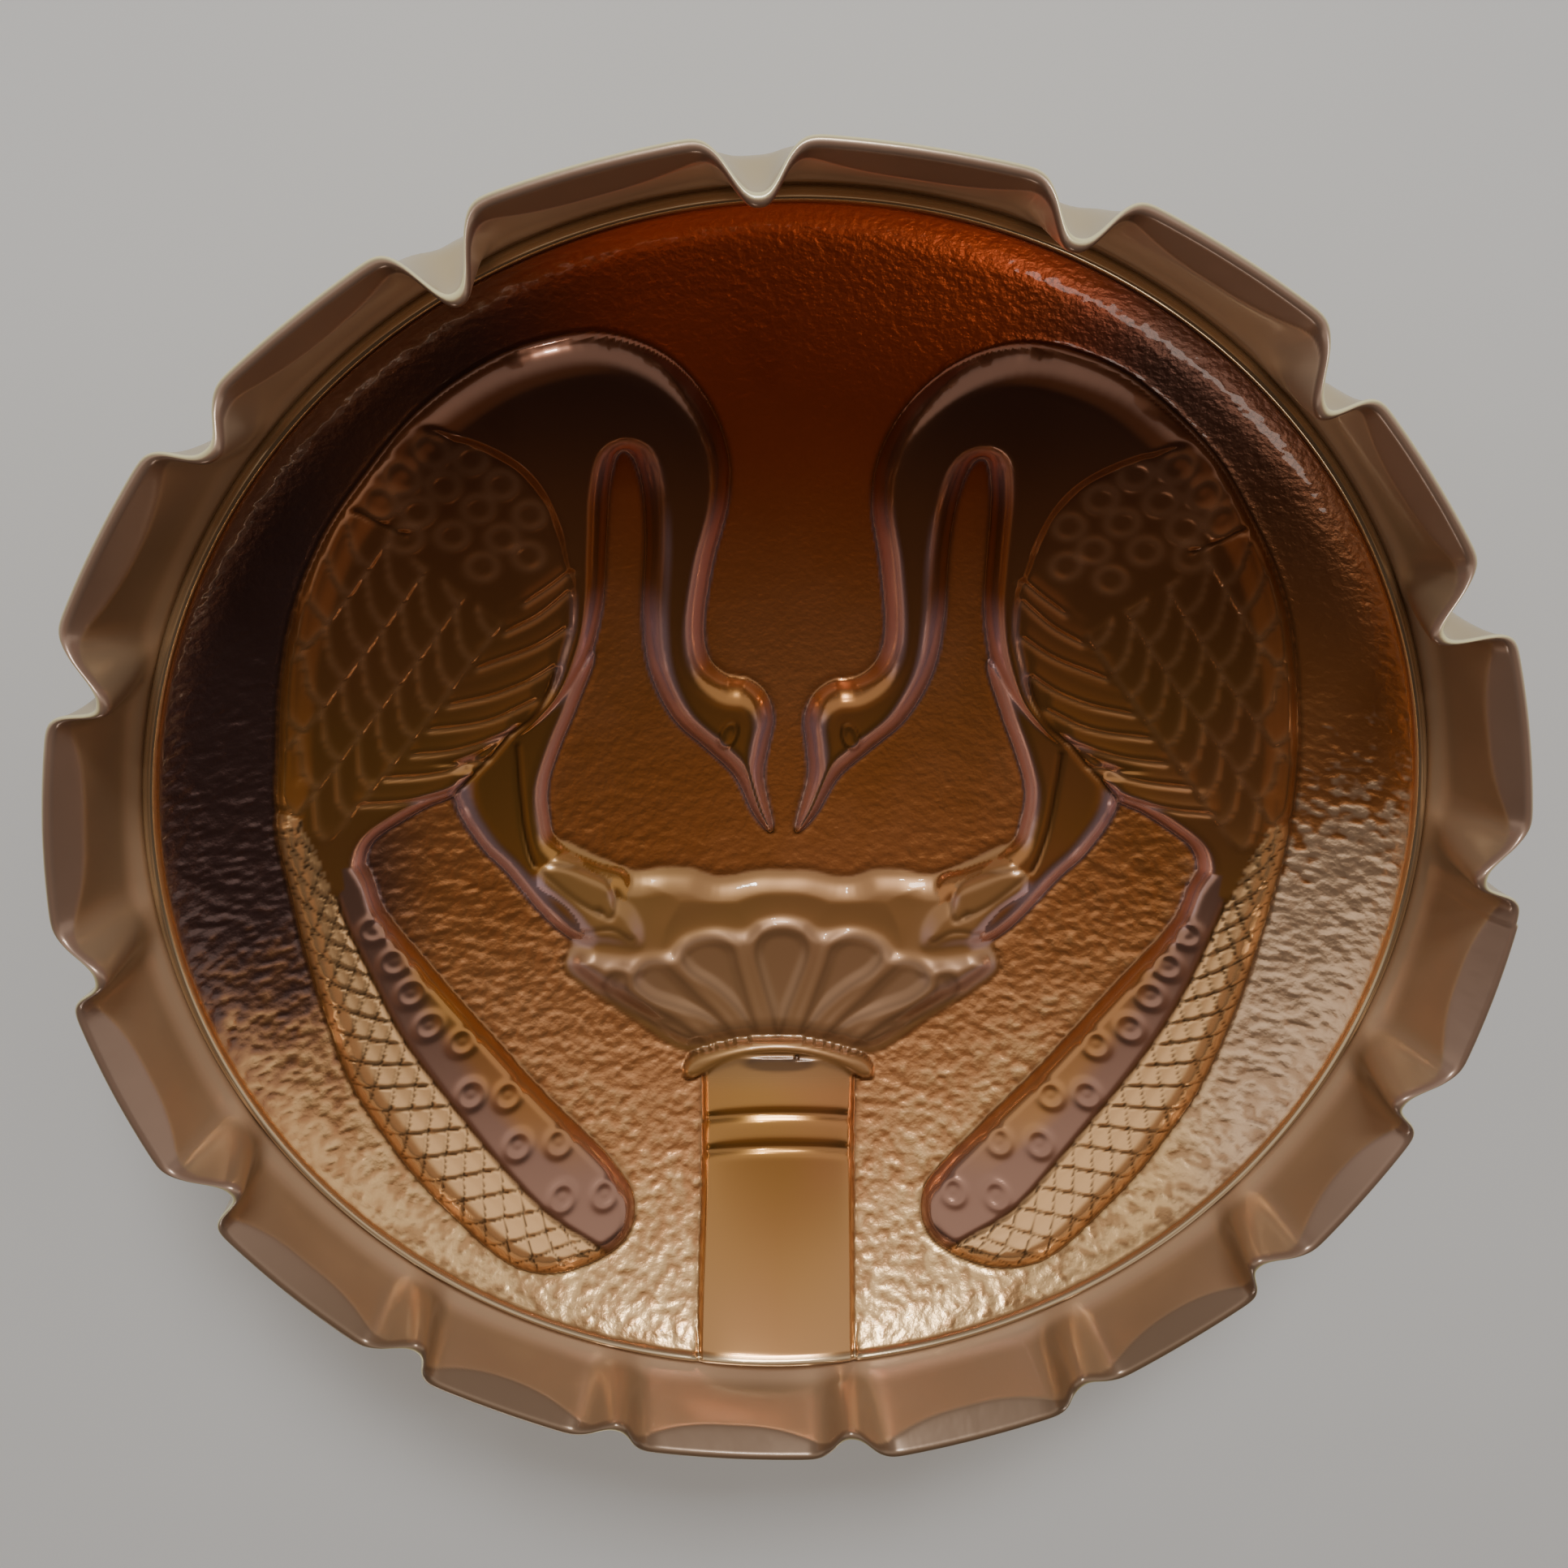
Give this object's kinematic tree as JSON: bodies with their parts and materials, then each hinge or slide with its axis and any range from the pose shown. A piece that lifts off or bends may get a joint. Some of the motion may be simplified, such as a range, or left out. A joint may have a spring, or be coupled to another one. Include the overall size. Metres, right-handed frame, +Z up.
{
  "type": "carnival glass bowl",
  "caption": "Round pressed-glass bowl with a crimped collar and iridised amber finish, its well carrying a raised design of facing peacocks at a fountain.",
  "frame": {"origin": "middle of the circle the foot ring stands on", "axes": "+Z up out of the bowl along its axis; the design is mirrored in the plane x = 0 and the fountain's column runs towards -Y"},
  "size_m": [0.2352, 0.2286, 0.0698],
  "materials": {
    "iridised_glass": "iridised marigold over amber glass, smooth relief on a stippled ground",
    "rim_glass": "iridised satin lustre, bare pale edge",
    "foot_glass": "smooth pressed glass"
  },
  "bodies": {
    "root": {"foot_ring": "foot_glass", "well": "iridised_glass", "crimped_collar": "rim_glass", "peacock_right": "iridised_glass", "tail_right": "iridised_glass", "peacock_left": "iridised_glass", "tail_left": "iridised_glass", "fountain_basin": "iridised_glass", "fountain_column": "iridised_glass"}
  },
  "joints": []
}
